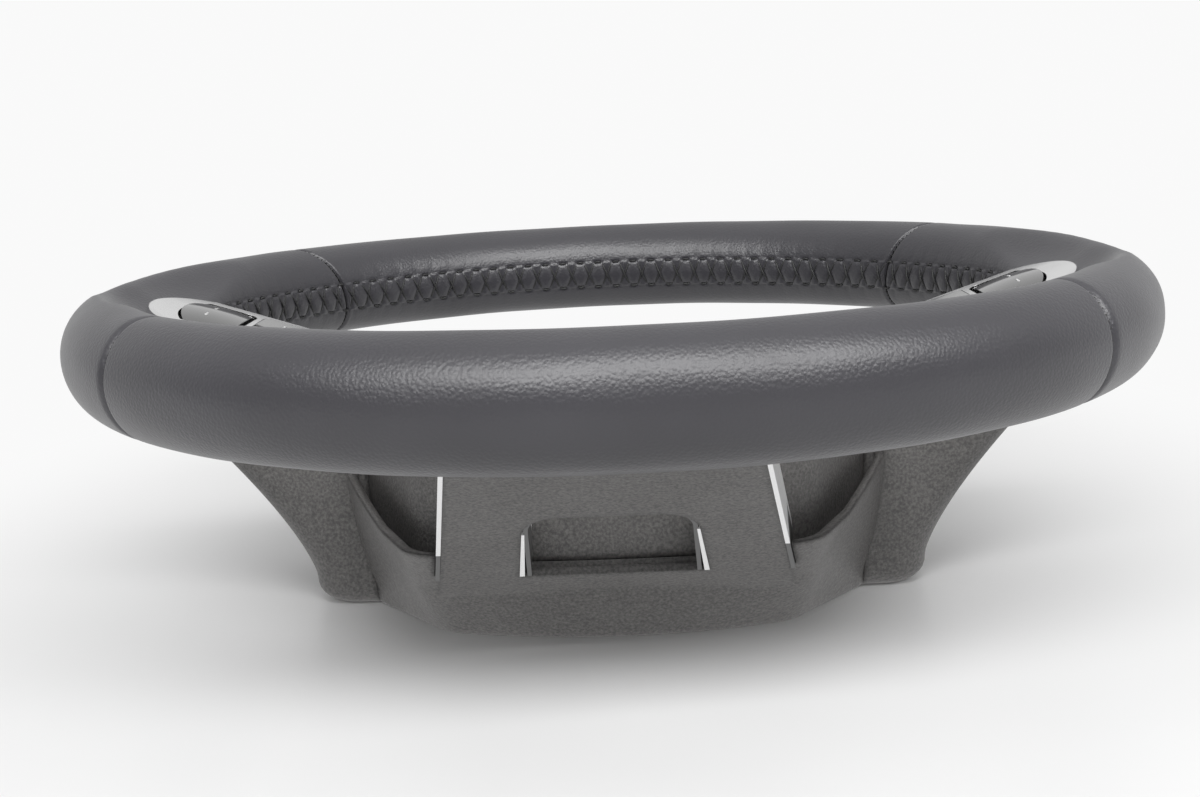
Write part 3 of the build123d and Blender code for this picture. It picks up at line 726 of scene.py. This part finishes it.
def windowApron():
    # a low wall behind the window that stands on the bowl and closes the view under the airbag cover
    apron = dict(half=30.0, low=21.5, high=38.0, front=-88.0, bow=0.0006, wall=1.2, rows=9, cols=31)
    x = np.linspace(-apron["half"], apron["half"], apron["cols"])
    z = np.linspace(apron["low"], apron["high"], apron["rows"])[:, None]
    points = np.stack(np.broadcast_arrays(x, apron["front"] + apron["bow"] * x ** 2, z), axis=-1)
    quads = gridQuads(apron["rows"], apron["cols"])[:, ::-1]
    piece = newPiece("window_apron", points.reshape(-1, 3), quads, grain, "wheel")
    thicken(piece, "apron_wall", apron["wall"])


def windowSill():
    # a thin sill on the window's foot, before the airbag cover's wall, that closes the view under the cover
    sill = dict(half=28.5, front=-93.3, bow=0.0014, wall=0.8, low=26.2, lap=0.3, rows=31)
    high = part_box("airbag_cover")[0].z / mm + sill["lap"]
    share, full = barRows(sill["rows"])
    x = sill["half"] * (2 * share - 1)
    deep = 0.5 + (np.array([0, 1, 1, 0]) - 0.5) * full
    tall = 0.5 + (np.array([1, 1, 0, 0]) - 0.5) * full
    y = sill["front"] + sill["bow"] * x ** 2 + sill["wall"] * deep
    z = sill["low"] + (high - sill["low"]) * tall
    points = np.stack(np.broadcast_arrays(x, y, z), axis=-1)
    quads = gridQuads(len(share), 4, closeCols=True)
    piece = newPiece("window_sill", points.reshape(-1, 3), quads, grain, "wheel",
                     smooth=False)
    weld(piece)


windowStrips()
windowApron()
windowSill()
print("window finished")


def hornCoils():
    # three coil springs, a round wire carried along a helix
    coil = dict(
        circle=54.5, angles=(90, 210, 330), radius=6.2, wire=1.6, turns=3, steps=25,
        low=29.9, rise=8.2, seat=29.0, keep=0.74,
    )
    spot = np.radians(coil["angles"])[:, None]
    turn = np.linspace(0, 2 * np.pi * coil["turns"], coil["steps"] * coil["turns"])
    paths = np.stack(np.broadcast_arrays(
        coil["circle"] * np.cos(spot) + coil["radius"] * np.cos(turn),
        coil["circle"] * np.sin(spot) + coil["radius"] * np.sin(turn),
        coil["low"] + coil["rise"] * turn / turn[-1]), axis=-1)
    points, quads = threads(paths, np.array([0.0, 0.0, 1.0]), coil["wire"] / 2, sides=8)
    piece = newPiece("horn_coils", points, quads, steel, "wheel")
    weld(piece)
    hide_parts("horn_springs")
    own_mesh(piece)


def keyMarks():
    # pale dashes printed on the keys: small grids laid on each key's top by rays from above
    mark = dict(long=4.0, wide=0.8, lift=0.1, apart=7.0, above=20.0, rows=9, cols=3)
    # each key's node, its body and where its dashes lie
    keys = (
        ("thumb_rocker", "rocker", (-1, 1)),
        ("upper_button", "upper_key", (0,)),
        ("lower_button", "lower_key", (0,)),
    )
    bpy.context.view_layer.update()
    printed = plainFinish("pale_print", grey(0.55), 0.5, 2000, 0.1)
    down = Vector((0, 0, -1))
    along, wide = np.meshgrid(np.linspace(-0.5, 0.5, mark["rows"]), np.linspace(-0.5, 0.5, mark["cols"]),
                              indexing="ij")
    grid = gridQuads(mark["rows"], mark["cols"])
    for side in ("left", "right"):
        for node, body, places in keys:
            key = nodes[side + "_" + node]
            low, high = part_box(side + "_" + node)
            centre = (np.array(low) + np.array(high)) / 2 / mm
            start = high.z + mark["above"] * mm
            points, quads = [], []
            for place in places:
                x = centre[0] + wide.ravel() * mark["wide"]
                y = centre[1] + place * mark["apart"] + along.ravel() * mark["long"]
                hits = [key.ray_cast(Vector((a, b, start)), down)[1] for a, b in zip(x * mm, y * mm)]
                z = np.array([hit.z for hit in hits]) / mm + mark["lift"]
                quads.append(grid + len(points) * x.size)
                points.append(np.stack([x, y, z], axis=-1))
            piece = newPiece(side + "_" + body + "_mark", np.concatenate(points), np.concatenate(quads),
                             printed, side + "_" + body)
            if piece.data.polygons[0].normal.z < 0:
                piece.data.flip_normals()
            thicken(piece, "ink_thickness", mark["lift"])


hornCoils()
keyMarks()
print("springs and key marks made")


# floor, light and camera

def makeFloor():
    # a pale light table: it takes the shadow, fades to plain white further off,
    # and lights what stands on it
    look = dict(
        radius=4.0, tone=0.74, change=0.01, clouds=7, roughness=0.35, specular=0.35,
        near=0.10, far=0.38, deep=0.45, front=-0.2, white=0.95, under=0.74, rings=12, sides=64,
    )
    material, tree, shader = newFinish("pale_floor", grey(look["tone"]), look["roughness"],
                                       specular=look["specular"])
    clouds = texture(tree, "ShaderNodeTexNoise", look["clouds"], Detail=2.0)
    dark, pale = look["tone"] - look["change"], look["tone"] + look["change"]
    tone = ramp(tree, clouds.outputs["Fac"], *cloudRange, grey(dark), grey(pale))
    tree.links.new(tone, shader.inputs["Base Color"])
    place = tree.nodes.new("ShaderNodeTexCoord")
    spread = tree.nodes.new("ShaderNodeMapping")
    spread.inputs["Scale"].default_value = (1, look["deep"], 1)
    spread.inputs["Location"].default_value = (0, -look["deep"] * look["front"], 0)
    tree.links.new(place.outputs["Object"], spread.inputs["Vector"])
    reach = tree.nodes.new("ShaderNodeVectorMath")
    reach.operation = "LENGTH"
    tree.links.new(spread.outputs["Vector"], reach.inputs[0])
    fade = tree.nodes.new("ShaderNodeMapRange")
    fade.interpolation_type = "SMOOTHSTEP"
    fade.inputs["From Min"].default_value = look["near"]
    fade.inputs["From Max"].default_value = look["far"]
    tree.links.new(reach.outputs["Value"], fade.inputs["Value"])
    path = tree.nodes.new("ShaderNodeLightPath")
    shown = tree.nodes.new("ShaderNodeMix")
    shown.inputs["A"].default_value = look["under"]
    tree.links.new(path.outputs["Is Camera Ray"], shown.inputs["Factor"])
    tree.links.new(fade.outputs["Result"], shown.inputs["B"])
    glow = tree.nodes.new("ShaderNodeEmission")
    glow.inputs["Color"].default_value = (*grey(look["white"]), 1)
    mix = tree.nodes.new("ShaderNodeMixShader")
    tree.links.new(shown.outputs["Result"], mix.inputs["Fac"])
    tree.links.new(shader.outputs[0], mix.inputs[1])
    tree.links.new(glow.outputs[0], mix.inputs[2])
    tree.links.new(mix.outputs[0], tree.nodes["Material Output"].inputs["Surface"])
    turn = np.linspace(0, 2 * np.pi, look["sides"], endpoint=False)
    radius = np.linspace(mm, look["radius"], look["rings"])[:, None]
    points = np.stack([radius * np.cos(turn), radius * np.sin(turn), 0 * radius * turn], axis=-1)
    quads = gridQuads(look["rings"], look["sides"], closeCols=True)
    mesh = bpy.data.meshes.new("floor")
    mesh.from_pydata(points.reshape(-1, 3).tolist(), [], quads.tolist())
    mesh.materials.append(material)
    floor = bpy.data.objects.new("floor", mesh)
    bpy.context.scene.collection.objects.link(floor)


def makeWorld():
    # a pale surround: white to the camera, white behind and dim in front to reflections, soft as light
    look = dict(seen=0.95, light=0.18, behind=0.75, front=0.25, aim=(0.0, 0.8, 0.6), dim=-0.5, bright=0.6)
    world = bpy.data.worlds.new("surround")
    bpy.context.scene.world = world
    world.use_nodes = True
    tree = world.node_tree
    back = tree.nodes["Background"]
    back.inputs["Color"].default_value = (1, 1, 1, 1)
    place = tree.nodes.new("ShaderNodeTexCoord")
    aim = tree.nodes.new("ShaderNodeVectorMath")
    aim.operation = "DOT_PRODUCT"
    aim.inputs[1].default_value = look["aim"]
    tree.links.new(place.outputs["Generated"], aim.inputs[0])
    mirrored = tree.nodes.new("ShaderNodeMapRange")
    mirrored.interpolation_type = "SMOOTHSTEP"
    mirrored.inputs["From Min"].default_value = look["dim"]
    mirrored.inputs["From Max"].default_value = look["bright"]
    mirrored.inputs["To Min"].default_value = look["front"]
    mirrored.inputs["To Max"].default_value = look["behind"]
    tree.links.new(aim.outputs["Value"], mirrored.inputs["Value"])
    path = tree.nodes.new("ShaderNodeLightPath")
    clear = tree.nodes.new("ShaderNodeMath")
    clear.operation = "MAXIMUM"
    tree.links.new(path.outputs["Is Glossy Ray"], clear.inputs[0])
    tree.links.new(path.outputs["Is Transmission Ray"], clear.inputs[1])
    lit = tree.nodes.new("ShaderNodeMix")
    lit.inputs["A"].default_value = look["light"]
    tree.links.new(clear.outputs[0], lit.inputs["Factor"])
    tree.links.new(mirrored.outputs["Result"], lit.inputs["B"])
    shown = tree.nodes.new("ShaderNodeMix")
    shown.inputs["B"].default_value = look["seen"]
    tree.links.new(path.outputs["Is Camera Ray"], shown.inputs["Factor"])
    tree.links.new(lit.outputs["Result"], shown.inputs["A"])
    tree.links.new(shown.outputs["Result"], back.inputs["Strength"])


def areaLight(name, place, aim, size, power):
    light = bpy.data.lights.new(name, "AREA")
    light.shape = "RECTANGLE"
    light.size, light.size_y = size
    light.energy = power
    lamp = bpy.data.objects.new(name, light)
    bpy.context.scene.collection.objects.link(lamp)
    lamp.location = place
    lamp.rotation_mode = "QUATERNION"
    lamp.rotation_quaternion = (Vector(aim) - Vector(place)).to_track_quat("-Z", "Y")


def makeCamera():
    view = dict(
        place=(0.0121, -0.56509, 0.17043), lens=46.95,
        pan=-1.744, tilt=10.518, roll=2.570,
    )
    pan, tilt, roll = (math.radians(view[key]) for key in ("pan", "tilt", "roll"))
    ahead = Vector((math.sin(pan) * math.cos(tilt), math.cos(pan) * math.cos(tilt), -math.sin(tilt)))
    right = ahead.cross(Vector((0, 0, 1))).normalized()
    up = right.cross(ahead)
    across = right * math.cos(roll) - up * math.sin(roll)
    upward = right * math.sin(roll) + up * math.cos(roll)
    lens = bpy.data.cameras.new("camera")
    lens.sensor_width = 36
    lens.lens = view["lens"]
    lens.clip_start = 0.01
    camera = bpy.data.objects.new("camera", lens)
    bpy.context.scene.collection.objects.link(camera)
    turn = Matrix((across, upward, -ahead)).transposed()
    camera.matrix_world = Matrix.Translation(view["place"]) @ turn.to_4x4()
    bpy.context.scene.camera = camera


makeFloor()
makeWorld()
areaLight("top_light", place=(0.0, 0.35, 1.5), aim=(0, 0, 0.05), size=(1.4, 1.4), power=2)
areaLight("front_light", place=(0.15, -1.0, 1.1), aim=(0, 0, 0.08), size=(2.6, 0.6), power=40)
makeCamera()
bpy.context.scene.view_settings.view_transform = "Standard"
print("stage made")
